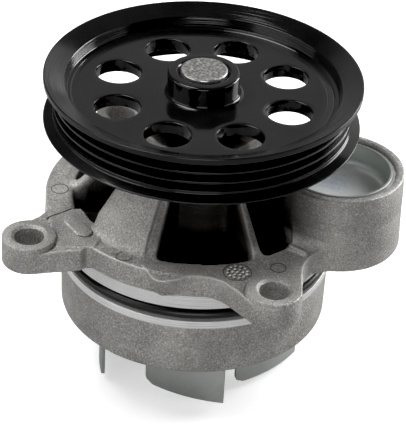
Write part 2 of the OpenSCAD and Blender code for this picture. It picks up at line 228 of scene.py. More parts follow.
def both(a, b, r):
    """What is inside both a and b, with the edge between them rounded by r."""
    a, b = a + r, b + r
    outside = np.sqrt(np.maximum(a, 0) ** 2 + np.maximum(b, 0) ** 2)
    return outside + np.minimum(np.maximum(a, b), 0) - r


def slab(d2, z, z0, z1, r):
    """Plate of outline d2 between z0 and z1 with edges rounded by r."""
    return both(d2, np.abs(z - (z0 + z1) / 2) - (z1 - z0) / 2, r)


def half_slab(d2, z, z1, r):
    """Like slab, open to below."""
    return both(d2, z - z1, r)


def sector(x, y, a0, wide):
    """Rough distance to the wedge that starts at angle a0 and is wide degrees wide, up to 180."""
    m = math.radians(a0 + wide / 2)
    h = math.radians(wide / 2)
    u = x * math.cos(m) + y * math.sin(m)
    v = np.abs(-x * math.sin(m) + y * math.cos(m))
    return v * math.cos(h) - u * math.sin(h)


def side_of(x, y, a):
    """Distance to the left of the line from the shaft at angle a."""
    a = math.radians(a)
    return y * math.cos(a) - x * math.sin(a)


def outline(x, y):
    """The flange with its ears, from above."""
    d = disc(x, y, (0, 0), FLANGE_R)
    for r, a0, wide in LOBES:
        d = smin(d, smax(disc(x, y, (0, 0), r), sector(x, y, a0, wide), 3.0), 2.0)
    webs = [(poly2(x, y, pts), soft) for pts, soft in FRONT_WEBS]
    # the webs of the hidden rear ears are plain and symmetrical
    for ex, ey in EARS[2:]:
        a, reach = math.atan2(ey, ex), math.hypot(ex, ey)
        u, v = x * math.cos(a) + y * math.sin(a), -x * math.sin(a) + y * math.cos(a)
        webs.append((poly2(u, v, [(30, -22), (42, -19), (reach, -EAR_R), (reach, EAR_R),
                                  (42, 19), (30, 22)]), 4.0))
    for ear, (web, soft) in zip(EARS, webs):
        d = smin(d, smin(web, disc(x, y, ear, EAR_R - 0.1), 0.8), soft)
    return d


def casting(x, y, z):
    """The upper part of the die casting, down to the mounting face."""
    r = np.sqrt(x * x + y * y)
    d2 = outline(x, y)
    # gentle waviness of a cast skin
    wave = 0.10 * np.sin(x * 0.31 + 1.7 * np.sin(y * 0.17)) * np.sin(y * 0.29 + z * 0.4 + 0.6)
    d = slab(d2 + wave * 0.5, z, 0.0, PLATE_T, EDGE)
    # tower and its full front left part
    tower = poly2(r, z, [(0, -6), (CONE_R - 2, -6), (CONE_R, PLATE_T), (NECK_R, CONE_TOP),
                         (NECK_R, NECK_TOP), (0, NECK_TOP)])
    full = poly2(r, z, [(0, -6), (CONE_R - 2, -6), (CONE_R + 0.9, PLATE_T),
                        (CONE_R - 1.6, PLATE_T + 6), (CONE_R - 7.3, PLATE_T + 13.5),
                        (CONE_R - 14.5, PLATE_T + 20.5), (NECK_R, CONE_TOP + 1.4),
                        (0, CONE_TOP + 1.4)])
    full = smax(full, -side_of(x, y, BULGE[0]), 7.0)
    full = smax(full, side_of(x, y, BULGE[1]), 0.5)
    tower = smin(tower, full, 0.4)
    d = smin(d, tower, 2.2)
    # pockets between the ribs
    hollow = poly2(r, z, [(NECK_R - 0.2, POCKET_Z), (CONE_R - 1, POCKET_Z),
                          (CONE_R + 0.6, PLATE_T + 1), (CONE_R + 0.6, 60), (NECK_R - 0.2, 60)])
    for a0, wide in POCKETS:
        if a0 > 180:
            # the pocket beside the full part has large rounds, largest towards that part
            a = np.degrees(np.arctan2(y, x)) % 360
            cut = smax(smax(hollow, -side_of(x, y, a0), 3.0), side_of(x, y, a0 + wide), 3.0)
            soft = 2.2 + 4.5 * np.clip((a - 196) / 14, 0, 1) * (a < 250)
            d = smax(d, -cut, soft)
        else:
            d = smax(d, -smax(hollow, sector(x, y, a0, wide), 3.0), 1.1)
    d = smin(d, slab(r - NECK_R, z, -5, NECK_TOP, 0.7), 1.2)
    # floor under the pockets
    d = smin(d, slab(r - 45.0, z, -5.0, POCKET_Z, 0.2), 1.5)
    # weep reservoir
    wall = disc(x, y, BOSS, 0) - (BOSS_R + (BOSS_TOP_R - BOSS_R) * np.clip(z / BOSS_H, 0, 1))
    wall = wall + wave * 0.6 + 0.15 * np.clip((z - 12) * 0.25, 0, 1)
    d = smin(d, slab(wall, z, 0, BOSS_H - 0.12, 0.9), 4.5)
    # small groove round the foot of each ear's ring
    for c in EARS:
        foot = np.sqrt(disc(x, y, c, EAR_R + 0.25) ** 2 + (z - PLATE_T - 0.1) ** 2)
        d = smax(d, 0.55 - foot, 0.3)
    # cast lug on the front edge, drawn in to its foot
    lug = poly2(x, y, LUG) + 0.40 * (PLATE_T - np.clip(z, 0, PLATE_T))
    d = smin(d, slab(lug, z, 0.2, PLATE_T, EDGE), 1.4)
    # short bar beside the reservoir
    bar = plank(x, y, (32.5, -31.2), (37.0, -34.4), 0.9)
    d = smin(d, half_slab(np.maximum(bar, 4 - z), z, PLATE_T + BAR_H, 0.5), 1.0)
    # low pad beside the left ear
    pad = np.maximum(poly2(x, y, PAD), -z)
    d = smin(d, half_slab(pad, z, PLATE_T + PAD_H, 0.2), 0.4)

    # bores
    d = smax(d, -(r - BEARING_R), 0.5)
    seat = BOSS_H - PLUG_D - PLUG_SINK
    cup = poly2(disc(x, y, BOSS, 0), z, [(0, 4), (PLUG_R - 1.4, 4), (PLUG_R - 1.4, seat),
                                         (PLUG_R, seat), (PLUG_R, BOSS_H - 1.6),
                                         (PLUG_R + 1.0, BOSS_H - 1.6), (PLUG_R + 1.0, 60),
                                         (0, 60)])
    d = smax(d, -cup, 0.7)
    for c in EARS:
        d = smax(d, -disc(x, y, c, BOLT_R + 0.15), 0.3)
    return d


def surface_net(field, lo, hi, h):
    """Closed quad mesh of field = 0, its vertices moved on to the surface."""
    axes = [np.arange(lo[i] - h * 2, hi[i] + h * 3, h) for i in range(3)]
    x, y, z = axes[0][:, None, None], axes[1][None, :, None], axes[2][None, None, :]
    d = np.broadcast_to(field(x, y, z), tuple(len(a) for a in axes)).astype(np.float32)
    inside = d < 0
    n = np.array(d.shape) - 1
    count = np.zeros(n, np.int8)
    for i in (0, 1):
        for j in (0, 1):
            for k in (0, 1):
                count += inside[i:i + n[0], j:j + n[1], k:k + n[2]]
    active = (count > 0) & (count < 8)
    cells = np.argwhere(active)
    ids = np.full(n, -1, np.int64)
    ids[active] = np.arange(len(cells))
    acc, num = np.zeros((len(cells), 3)), np.zeros(len(cells))
    for axis in range(3):
        o1, o2 = [a for a in range(3) if a != axis]
        for i in (0, 1):
            for j in (0, 1):
                a = cells.copy()
                a[:, o1] += i
                a[:, o2] += j
                b = a.copy()
                b[:, axis] += 1
                va, vb = d[tuple(a.T)].astype(float), d[tuple(b.T)].astype(float)
                hit = (va < 0) != (vb < 0)
                t = va[hit] / (va[hit] - vb[hit])
                p = a[hit].astype(float)
                p[:, axis] += t
                acc[hit] += p
                num[hit] += 1
    verts = acc / num[:, None] * h + np.array([a[0] for a in axes])
    faces = []
    for axis in range(3):
        o1, o2 = (axis + 1) % 3, (axis + 2) % 3
        s0 = np.moveaxis(inside, axis, 0)
        change = s0[:-1] != s0[1:]
        change = np.moveaxis(change, 0, axis)
        idx = np.argwhere(change)
        i1, i2 = idx[:, o1], idx[:, o2]
        idx = idx[(i1 > 0) & (i2 > 0) & (i1 < n[o1]) & (i2 < n[o2])]
        flip = inside[tuple(idx.T)]
        quad = []
        for da, db in ((1, 1), (0, 1), (0, 0), (1, 0)):
            c = idx.copy()
            c[:, o1] -= da
            c[:, o2] -= db
            quad.append(ids[tuple(c.T)])
        q = np.stack(quad, 1)
        q[~flip] = q[~flip][:, ::-1]
        faces.append(q)
    faces = np.concatenate(faces)
    for _ in range(3):
        g, f0 = gradient(field, verts)
        verts = verts - np.clip(f0 / np.maximum((g * g).sum(1), 0.2), -h, h)[:, None] * g
    return verts, faces


def gradient(field, p, e=0.02):
    """Slope and value of a field at the points p."""
    f0 = field(*p.T)
    g = np.empty_like(p)
    for i in range(3):
        q, w = p.copy(), p.copy()
        q[:, i] += e
        w[:, i] -= e
        g[:, i] = (field(*q.T) - field(*w.T)) / (2 * e)
    return g, f0


# ------------------------------------------------------------------ materials
class Nodes:
    """Short way to write a node tree."""

    def __init__(self, name):
        self.m = bpy.data.materials.new(name)
        self.m.use_nodes = True
        self.t = self.m.node_tree
        self.bsdf = self.t.nodes["Principled BSDF"]
        self.co = self.t.nodes.new("ShaderNodeTexCoord").outputs["Object"]

    def put(self, socket, v):
        if isinstance(v, bpy.types.NodeSocket):
            self.t.links.new(v, socket)
        else:
            socket.default_value = v

    def node(self, kind, *values):
        """New node with its first inputs set or linked."""
        n = self.t.nodes.new("ShaderNode" + kind)
        for s, v in zip(n.inputs, values):
            self.put(s, v)
        return n

    def noise(self, scale, detail=3.0, rough=0.55, vec=None, dist=0.0):
        n = self.node("TexNoise", vec or self.co)
        n.inputs["Scale"].default_value = scale
        n.inputs["Detail"].default_value = detail
        n.inputs["Roughness"].default_value = rough
        n.inputs["Distortion"].default_value = dist
        return n.outputs["Fac"]

    def voronoi(self, scale):
        n = self.node("TexVoronoi", self.co)
        n.inputs["Scale"].default_value = scale
        return n.outputs["Distance"]

    def math(self, op, a, b=0.0, clamp=False):
        n = self.node("Math", a, b)
        n.operation = op
        n.use_clamp = clamp
        return n.outputs[0]

    def add(self, a, b, clamp=False):
        return self.math("ADD", a, b, clamp)

    def sub(self, a, b):
        return self.math("SUBTRACT", a, b)

    def times(self, first, *others):
        for f in others:
            first = self.math("MULTIPLY", first, f)
        return first

    def hypot(self, x, y):
        return self.math("SQRT", self.add(self.times(x, x), self.times(y, y)))

    def ramp(self, f, *stops):
        n = self.node("ValToRGB", f)
        r = n.color_ramp
        while len(r.elements) > 1:
            r.elements.remove(r.elements[0])
        for i, (p, c) in enumerate(stops):
            e = r.elements[0] if i == 0 else r.elements.new(p)
            e.position = p
            e.color = (*c, 1) if isinstance(c, tuple) else (c, c, c, 1)
        return n.outputs[0]

    def span(self, f, a, b, lo, hi):
        """Value that goes from lo to hi while f goes from a to b."""
        return self.node("MapRange", f, a, b, lo, hi).outputs[0]

    def rise(self, f, a, b, top=1.0):
        return self.span(f, a, b, 0.0, top)

    def fall(self, f, a, b):
        return self.span(f, a, b, 1.0, 0.0)

    def mix(self, f, a, b, mode="MIX"):
        n = self.node("Mix", f)
        n.data_type = "RGBA"
        n.blend_type = mode
        for s, v in ((n.inputs[6], a), (n.inputs[7], b)):
            self.put(s, (*v, 1) if isinstance(v, tuple) else v)
        return n.outputs[2]

    def bump(self, height, strength, dist, normal=None):
        n = self.node("Bump")
        self.put(n.inputs["Height"], height)
        n.inputs["Strength"].default_value = strength
        n.inputs["Distance"].default_value = dist
        if normal is not None:
            self.put(n.inputs["Normal"], normal)
        return n.outputs[0]

    def xyz(self):
        return tuple(self.node("SeparateXYZ", self.co).outputs)

    def polar(self):
        """Radius, height and angle of the point about the shaft, in metres and radians."""
        x, y, z = self.xyz()
        return self.hypot(x, y), z, self.math("ARCTAN2", y, x)

    def rings(self, fine, along, detail):
        """Noise drawn out round the shaft, as a turning tool leaves it."""
        r, z, a = self.polar()
        vec = self.node("CombineXYZ", self.times(r, fine), self.times(z, fine),
                        self.times(a, along)).outputs[0]
        return self.noise(1.0, detail, 0.6, vec)

    def pointy(self):
        return self.node("NewGeometry").outputs["Pointiness"]

    def done(self, color, rough, normal=None, metal=0.0):
        b = self.bsdf.inputs
        self.put(b["Base Color"], color)
        self.put(b["Roughness"], rough)
        if normal is not None:
            self.put(b["Normal"], normal)
        b["Metallic"].default_value = metal
        return self.m


def painted_shade(n, base):
    """Painted shade over a casting's colour: strong in the pockets, weaker round the front."""
    deg = math.radians
    r, z, a = n.polar()
    x = n.xyz()[0]
    # how far a point lies inside the cone on which the ribs end
    above_plate = n.math("MAXIMUM", n.sub(z, PLATE_T * MM), 0.0)
    depth = n.sub(n.sub(CONE_R * MM, r), n.math("DIVIDE", above_plate, CONE_SLOPE))
    # the pockets between the ribs are painted dark, as painted shade
    base = n.mix(n.rise(depth, 0.0010, 0.0048, 0.93), base, (0.036, 0.035, 0.033))
    # painted shade on the front ribs, between the full part of the cone and the reservoir
    ribs = n.times(n.rise(a, deg(-111.5), deg(-107.5), 0.6), n.fall(x, 0.0200, 0.0260),
                   n.fall(a, deg(-42), deg(-38)), n.fall(r, 0.0405, 0.0425))
    # painted shade on the side of the reservoir next to them
    wall = n.times(n.rise(x, 0.0215, 0.0250, 0.95), n.fall(x, 0.0315, 0.0460),
                   n.fall(a, deg(-20), deg(-14)), n.rise(a, deg(-62), deg(-58)))
    side_shade = n.times(n.rise(z, 0.0092, 0.0125), n.math("MAXIMUM", ribs, wall))
    return n.mix(side_shade, base, (0.030, 0.029, 0.027))


def cast_aluminium(name, edges=False, tone=1.0):
    """Die-cast aluminium, shot blasted: sharp bright grain, cloudy darker areas, a painted
    highlight on convex edges and painted shade in the pockets.
    """
    n = Nodes(name)
    grain = n.noise(1700, 2, 0.65)
    pits = n.voronoi(2100)
    cloud = n.noise(60, 4, 0.6)
    patch = n.noise(17, 3, 0.5)
    speck = n.ramp(n.noise(1700, 2, 0.7), (0.60, 0.0), (0.72, 1.0))
    base = n.ramp(n.add(n.times(grain, 0.62), n.times(cloud, 0.38)),
                  (0.36, (0.24, 0.232, 0.221)), (0.50, (0.44, 0.428, 0.411)),
                  (0.64, (0.70, 0.686, 0.664)))
    base = n.mix(n.rise(patch, 0.40, 0.64, 0.30), base, (0.28, 0.27, 0.256))
    base = n.mix(n.times(speck, 0.45), base, (0.85, 0.845, 0.835))
    # convex edges painted lighter, as a painted highlight
    if edges:
        edge = n.ramp(n.pointy(), (0.515, 0.0), (0.56, 1.0))
        base = n.mix(n.times(edge, 0.55), base, (0.62, 0.61, 0.595))
    # painted shade in the pockets and on the front ribs and reservoir side
    base = painted_shade(n, base)
    # a tone below 1 makes a darker copy for painted shade, above 1 a lighter copy for painted
    # highlight
    if tone != 1.0:
        base = n.mix(1.0, base, (tone,) * 3, "MULTIPLY")
    rough = n.span(n.add(grain, n.times(cloud, 0.6)), 0.5, 1.1, 0.38, 0.60)
    height = n.add(grain, n.times(pits, 0.5))
    return n.done(base, rough, n.bump(height, 0.8, 0.00030), metal=0.55)


def machined():
    """Turned aluminium: bright, with fine tool marks round the axis."""
    n = Nodes("machined_aluminium")
    turn = n.rings(5200, 1.2, 3)
    cloud = n.noise(70, 3, 0.5)
    col = n.mix(n.rise(cloud, 0.35, 0.65), (0.86, 0.86, 0.855), (0.95, 0.95, 0.945))
    rough = n.span(turn, 0.3, 0.7, 0.22, 0.38)
    return n.done(col, rough, n.bump(turn, 0.25, 0.00005), metal=0.35)


def black_paint():
    """Cathodic dip paint on steel: glossy black with a slight orange peel and a little dust."""
    n = Nodes("black_paint")
    peel = n.noise(420, 2, 0.5)
    dust = n.ramp(n.noise(5200, 1, 0.5), (0.70, 0.0), (0.80, 1.0))
    cloud = n.noise(45, 4, 0.55)
    col = n.mix(n.rise(cloud, 0.35, 0.7), (0.0120, 0.0120, 0.0123), (0.0190, 0.0190, 0.0194))
    col = n.mix(n.times(dust, 0.12), col, (0.16, 0.16, 0.16))
    rough = n.add(n.span(cloud, 0.3, 0.7, 0.08, 0.14), n.times(dust, 0.15))
    # the spun rim keeps fine rings under the paint, on the slope down from its top edge
    r, z, _ = n.polar()
    spun = n.times(n.rings(1900, 0.5, 2), n.rise(r, 0.0400, 0.0430), n.rise(z, 0.0480, 0.0495))
    return n.done(col, rough, n.bump(spun, 0.9, 0.00012, n.bump(peel, 0.12, 0.00005)))


def steel(name, dark, light, lo, hi, scale=900):
    """Bare steel with a fine grain, a cloudy tone and a roughness between lo and hi."""
    n = Nodes(name)
    g = n.noise(scale, 3, 0.6)
    cloud = n.noise(38, 4, 0.55)
    col = n.mix(n.add(n.times(g, 0.45), n.times(cloud, 0.55), clamp=True), dark, light)
    return n.done(col, n.span(g, 0.3, 0.7, lo, hi), n.bump(g, 0.2, 0.00006), metal=0.9)


def zinc():
    """Zinc plated pressing: satin, greener up its wall and painted darker there as painted shade
    inside the cup, a bluish stain on its floor.
    """
    n = Nodes("zinc_plated_steel")
    cloud = n.noise(55, 3, 0.5, dist=0.6)
    fine = n.noise(420, 2, 0.5)
    x, y, z = n.xyz()
    col = n.mix(n.rise(cloud, 0.35, 0.65), (0.80, 0.825, 0.81), (0.93, 0.94, 0.935))
    # the wall is painted darker than the floor, as painted shade inside the cup, with a greener
    # tint
    wall = n.rise(z, (BOSS_H - PLUG_D + 1.2) * MM, (BOSS_H - PLUG_D + 4.0) * MM)
    col = n.mix(wall, col, n.mix(cloud, (0.33, 0.36, 0.335), (0.47, 0.50, 0.475)))
    away = n.hypot(n.sub(x, STAIN[0] * MM), n.sub(y, STAIN[1] * MM))
    speck = n.ramp(n.noise(900, 3, 0.7), (0.42, 0.25), (0.60, 1.0))
    blot = n.times(n.fall(away, 0.0030, 0.0085), n.sub(1.0, wall), speck, 0.75)
    col = n.mix(blot, col, (0.50, 0.59, 0.76))
    rough = n.span(cloud, 0.3, 0.7, 0.26, 0.38)
    return n.done(col, rough, n.bump(fine, 0.15, 0.00008), metal=0.30)


def sheared():
    """Rough end of the shaft."""
    n = Nodes("sheared_shaft_end")
    g = n.noise(760, 4, 0.75, dist=0.4)
    f = n.add(n.times(g, 0.7), n.times(n.voronoi(900), 0.6))
    col = n.ramp(f, (0.34, (0.10, 0.10, 0.095)), (0.55, (0.18, 0.178, 0.17)),
                 (0.82, (0.36, 0.357, 0.345)))
    return n.done(col, n.span(g, 0.3, 0.7, 0.42, 0.62), n.bump(f, 0.9, 0.0004), metal=0.7)


def rubber(name, tone, rough):
    """Dull black rubber or carbon of a mean tone and roughness."""
    n = Nodes(name)
    g = n.noise(1400, 2, 0.6)
    cloud = n.noise(60, 3, 0.5)
    col = n.mix(cloud, (tone * 0.7,) * 3, (tone * 1.5,) * 3)
    return n.done(col, n.span(g, 0.3, 0.7, rough - 0.06, rough + 0.1), n.bump(g, 0.15, 0.00005))


def moulded(name, a, b):
    """Glass-filled plastic of a bearing cage, or lapped ceramic."""
    n = Nodes(name)
    g = n.noise(800, 3, 0.6)
    return n.done(n.mix(g, a, b), n.span(g, 0.3, 0.7, 0.4, 0.55), n.bump(g, 0.2, 0.00005))


MAT = {
    # edges=True gives the casting a painted highlight on its convex edges
    "cast": cast_aluminium("cast_aluminium", edges=True),
    "cast_turned": cast_aluminium("cast_aluminium_turned"),
    # a dark and a light copy of the casting: painted shade and painted highlight on the cast marks
    "cast_painted_shade": cast_aluminium("cast_aluminium_painted_shade", tone=0.28),
    "cast_painted_highlight": cast_aluminium("cast_aluminium_painted_highlight", tone=1.9),
    "machined": machined(),
    "paint": black_paint(),
    "shaft_end": sheared(),
    "shaft": steel("ground_shaft_steel", (0.42, 0.42, 0.41), (0.62, 0.62, 0.61), 0.22, 0.36),
    "sheet": steel("impeller_sheet_steel", (0.58, 0.61, 0.585), (0.82, 0.85, 0.825),
                   0.30, 0.46, 700),
    "hub": steel("impeller_hub_steel", (0.33, 0.34, 0.33), (0.50, 0.51, 0.50), 0.30, 0.45),
    "plug": zinc(),
    "bearing": steel("bearing_steel", (0.50, 0.50, 0.50), (0.68, 0.68, 0.68), 0.16, 0.28),
    "brass": steel("seal_cup_brass", (0.50, 0.38, 0.16), (0.66, 0.52, 0.24), 0.25, 0.40),
    "spring": steel("spring_steel", (0.42, 0.42, 0.40), (0.60, 0.60, 0.58), 0.25, 0.38),
    "carbon": rubber("seal_carbon", 0.03, 0.35),
    "ceramic": moulded("seal_ceramic", (0.80, 0.79, 0.75), (0.90, 0.89, 0.85)),
    "o_ring": rubber("o_ring_rubber", 0.012, 0.34),
    "rubber": rubber("seal_rubber", 0.02, 0.5),
    "cage": moulded("cage_plastic", (0.20, 0.16, 0.10), (0.30, 0.25, 0.17)),
}


def paint(ob, *mats, second=None):
    """Give a piece its materials; faces whose centre (in mm) passes second get the second one."""
    ob.data.materials.clear()
    for m in mats:
        ob.data.materials.append(MAT[m])
    if second:
        for p in ob.data.polygons:
            if second(*(p.center / MM)):
                p.material_index = 1


# ------------------------------------------------------------------ housing
def make_casting():
    h = 0.62
    v, f = surface_net(casting, (-68, -67, -5.2), (72, 66, NECK_TOP), h)
    ob = new_object("housing_casting", v, f, "housing", "cast_aluminium")
    g, _ = gradient(casting, v)
    g /= np.maximum(np.linalg.norm(g, axis=1, keepdims=True), 1e-9)
    ob.data.normals_split_custom_set_from_vertices([tuple(n) for n in g])
    paint(ob, "cast")
    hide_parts("housing")


def make_spigot():
    """Turned lower part: machined bands and seat of the face seal, and the cast skirt."""
    skirt = [(SEAL_R, -3.2, 0), (SEAL_R, CHAMBER_Z, 0.3), (41.5, CHAMBER_Z, 2.0), (41.5, -16, 0.6),
             (SKIRT_IN, -18.5, 0.6), (SKIRT_IN, SKIRT_LOW, 0.8), (SKIRT_R - 0.25, SKIRT_LOW, 1.0),
             (SKIRT_R, SPIGOT_LOW, 0.0), (SPIGOT_R, SPIGOT_LOW + 0.25, 0.15),
             (SPIGOT_R, GROOVE_LOW, 0.15), (GROOVE_R, GROOVE_LOW, 0.3),
             (GROOVE_R, GROOVE_TOP, 0.3), (SPIGOT_R, GROOVE_TOP, 0.15), (SPIGOT_R, 0.6, 0),
             (43.0, 0.6, 0), (42.3, -3.2, 0)]
    ob = lathe("housing_spigot", skirt, "housing", "cast_aluminium", 240, sharp=35)

    def cut(x, y, z):
        r = math.hypot(x, y)
        return (z > SPIGOT_LOW - 0.02 and r > 44) or (abs(z - CHAMBER_Z) < 0.1 and r < 24)

    paint(ob, "cast_turned", "machined", second=cut)


def make_rings():
    """Crisp rings of the ears and the rim of the reservoir, on the softer casting."""
    ear = [(BOLT_R, 0.0, 0.3), (EAR_R, 0.0, 0.5), (EAR_R, EAR_H, 0.5), (BOLT_R + 1.1, EAR_H, 0.4),
           (BOLT_R, EAR_H - 0.8, 0.3)]
    for k, c in enumerate(EARS):
        ob = lathe(f"ear_ring_{k + 1}", ear, "housing", "cast_aluminium", 96, centre=c, sharp=30)
        paint(ob, "cast_turned")
    rim = [(PLUG_R, BOSS_H - 9, 0), (PLUG_R, BOSS_H - 1.5, 0.15), (PLUG_R + 1.3, BOSS_H - 1.5, 0.2),
           (PLUG_R + 1.6, BOSS_H, 0.2), (BOSS_TOP_R, BOSS_H, 0.6),
           (BOSS_TOP_R + 0.25, BOSS_H - 12, 0), (BOSS_TOP_R - 1, BOSS_H - 18, 0)]
    ob = lathe("reservoir_rim", rim, "housing", "cast_aluminium", 160, centre=BOSS, sharp=30)

    def cut(x, y, z):
        return math.hypot(x - BOSS[0], y - BOSS[1]) < PLUG_R + 1.5 and z > BOSS_H - 9

    paint(ob, "cast_turned", "machined", second=cut)


def line_bead(path, wide, z, high, closed):
    """Low bead that follows a path, as vertices and faces."""
    pts = np.asarray(path, float)
    n = len(pts)
    if closed:
        ahead, behind = np.roll(pts, -1, 0), np.roll(pts, 1, 0)
    else:
        ahead = np.vstack([pts[1:], 2 * pts[-1] - pts[-2]])
        behind = np.vstack([2 * pts[0] - pts[1], pts[:-1]])
    t = ahead - behind
    t /= np.linalg.norm(t, axis=1, keepdims=True)
    side = np.stack([-t[:, 1], t[:, 0]], 1) * wide
    verts, faces = [], []
    for p, q in zip(pts, side):
        verts += [(*(p - q), z - MARK_FOOT), (*(p - q * 0.6), z + high * 0.8),
                  (*(p + q * 0.6), z + high * 0.8), (*(p + q), z - MARK_FOOT)]
    for i in range(n if closed else n - 1):
        a, b = 4 * i, 4 * ((i + 1) % n)
        for k in range(4):
            faces.append((a + k, a + (k + 1) % 4, b + (k + 1) % 4, b + k))
    if not closed:
        faces += [(0, 1, 2, 3), (4 * n - 1, 4 * n - 2, 4 * n - 3, 4 * n - 4)]
    return verts, faces


def circle_path(c, r, a0=0.0, a1=360.0, n=48):
    """Points of an arc; a whole circle leaves out the last one."""
    full = abs(a1 - a0) > 359
    turns = [math.radians(a0 + (a1 - a0) * i / n) for i in range(n if full else n + 1)]
    return [(c[0] + r * math.cos(t), c[1] + r * math.sin(t)) for t in turns]


def long_mark():
    """Raised mark with round ends on the pad, as vertices and faces."""
    a_end, b_end, rad = PAD_MARK
    turn = math.atan2(b_end[1] - a_end[1], b_end[0] - a_end[0])
    verts, faces, rows = [], [], []
    steps = 48
    for inset, z in ((0, PLATE_T - 0.2), (0, PLATE_T + 0.7), (0.12, PLATE_T + 0.85),
                     (0.4, PLATE_T + 0.9)):
        row = []
        for i in range(steps):
            a = turn + math.pi / 2 + 2 * math.pi * i / steps
            cx, cy = a_end if i < steps // 2 else b_end
            row.append(len(verts))
            verts.append((cx + (rad - inset) * math.cos(a), cy + (rad - inset) * math.sin(a), z))
        rows.append(row)
    for a, b in zip(rows, rows[1:]):
        faces += [(a[i], a[(i + 1) % steps], b[(i + 1) % steps], b[i]) for i in range(steps)]
    faces.append(tuple(rows[-1]))
    faces.append(tuple(reversed(rows[0])))
    return verts, faces


def make_marks():
    """Round pin marks, the dotted disc and the long mark on the pad, outlined with painted shade
    and painted highlight.
    """
    dark, light = ([], []), ([], [])

    def join(store, v, f):
        base = len(store[0])
        store[0].extend(v)
        store[1].extend(tuple(i + base for i in q) for q in f)

    # dark beads round the pin circles and the dotted disc: painted shade at their edges
    for c, r in MARKS:
        join(dark, *line_bead(circle_path(c, r), 0.21, PLATE_T, 0.14, True))
    join(dark, *line_bead(circle_path(DOTTED, DOTTED_R), 0.22, PLATE_T, 0.14, True))
    # raised dots in the middle and on two circles, painted light as a painted highlight, each with
    # a painted shadow at its foot
    foot = PLATE_T - MARK_FOOT
    dot = [(0, PLATE_T + 0.45), (0.35, PLATE_T + 0.36), (0.55, foot), (0, foot)]
    dot_shadow = [(0, PLATE_T + 0.14), (0.5, PLATE_T + 0.12), (0.6, foot), (0, foot)]
    inner = [(1.7, 60 * i) for i in range(6)]
    outer = [(3.3, 30 * i + 12) for i in range(12)]
    for r, a in [(0.0, 0)] + inner + outer:
        a = math.radians(a)
        c = (DOTTED[0] + r * math.cos(a), DOTTED[1] + r * math.sin(a))
        join(light, *revolve(dot, 12, False, c))
        join(dark, *revolve(dot_shadow, 12, False, (c[0] + 0.25, c[1] - 0.45)))
    # painted shadow line along the step at the back of the pad, with a small hook
    step = [(-50.6, -22.0), (-50.5, -21.3), (-49.9, -20.6), (-46.6, -18.0), (-42.9, -14.9)]
    pad_top = PLATE_T + PAD_H
    join(dark, *line_bead(step, 0.30, pad_top, 0.16, False))
    # painted shadow round the lower end of the long mark, and a painted highlight along its side
    (ax, ay), (bx, by), rad = PAD_MARK
    turn = math.atan2(by - ay, bx - ax)
    t = math.degrees(turn)
    low = circle_path((bx, by), rad + 0.15, t - 80, t + 90, 20)
    up = [(ax + (rad + 0.15) * math.cos(turn + math.pi / 2) + (bx - ax) * 0.45,
           ay + (rad + 0.15) * math.sin(turn + math.pi / 2) + (by - ay) * 0.45)]
    join(dark, *line_bead(low + up, 0.26, pad_top, 0.2, False))
    off = turn - math.pi / 2
    back = [(x + (rad + 0.1) * math.cos(off), y + (rad + 0.1) * math.sin(off))
            for x, y in ((ax, ay), (bx, by))]
    join(light, *line_bead(back, 0.24, pad_top, 0.45, False))
    # the dark pieces carry painted shade, the light ones painted highlight
    for name, store, mat in (("housing_mark_seams", dark, "cast_painted_shade"),
                             ("housing_mark_edges", light, "cast_painted_highlight"),
                             ("housing_long_mark", long_mark(), "cast_turned")):
        ob = new_object(name, *store, "housing", "cast_aluminium", 35)
        outward(ob)
        paint(ob, mat)


def make_ring_seal():
    """Sealing ring in the groove of the spigot."""
    steps = 24
    mid = (GROOVE_TOP + GROOVE_LOW) / 2
    ring = [(GROOVE_R + RING_WIRE * (1 + math.cos(a)), mid + RING_WIRE * math.sin(a))
            for a in (2 * math.pi * k / steps for k in range(steps))]
    ob = new_object("spigot_ring_seal", *revolve(ring, 240), "housing", "ring_rubber")
    outward(ob)
    paint(ob, "o_ring")
    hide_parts("spigot_o_ring")


def make_plug():
    """Pressed plug of the reservoir."""
    rim = BOSS_H - PLUG_SINK
    low = rim - PLUG_D
    cup = [(0, low), (PLUG_R, low, 3.4), (PLUG_R, rim, 0.45), (PLUG_R - PLUG_WALL, rim, 0.45),
           (PLUG_R - PLUG_WALL, low + PLUG_WALL, 2.6), (0, low + PLUG_WALL)]
    ob = lathe("reservoir_cap", cup, "housing", "plated_steel", 144, closed=False, centre=BOSS, n=6)
    paint(ob, "plug")
    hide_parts("reservoir_plug")


make_casting()
make_spigot()
make_rings()
make_marks()
make_ring_seal()
make_plug()


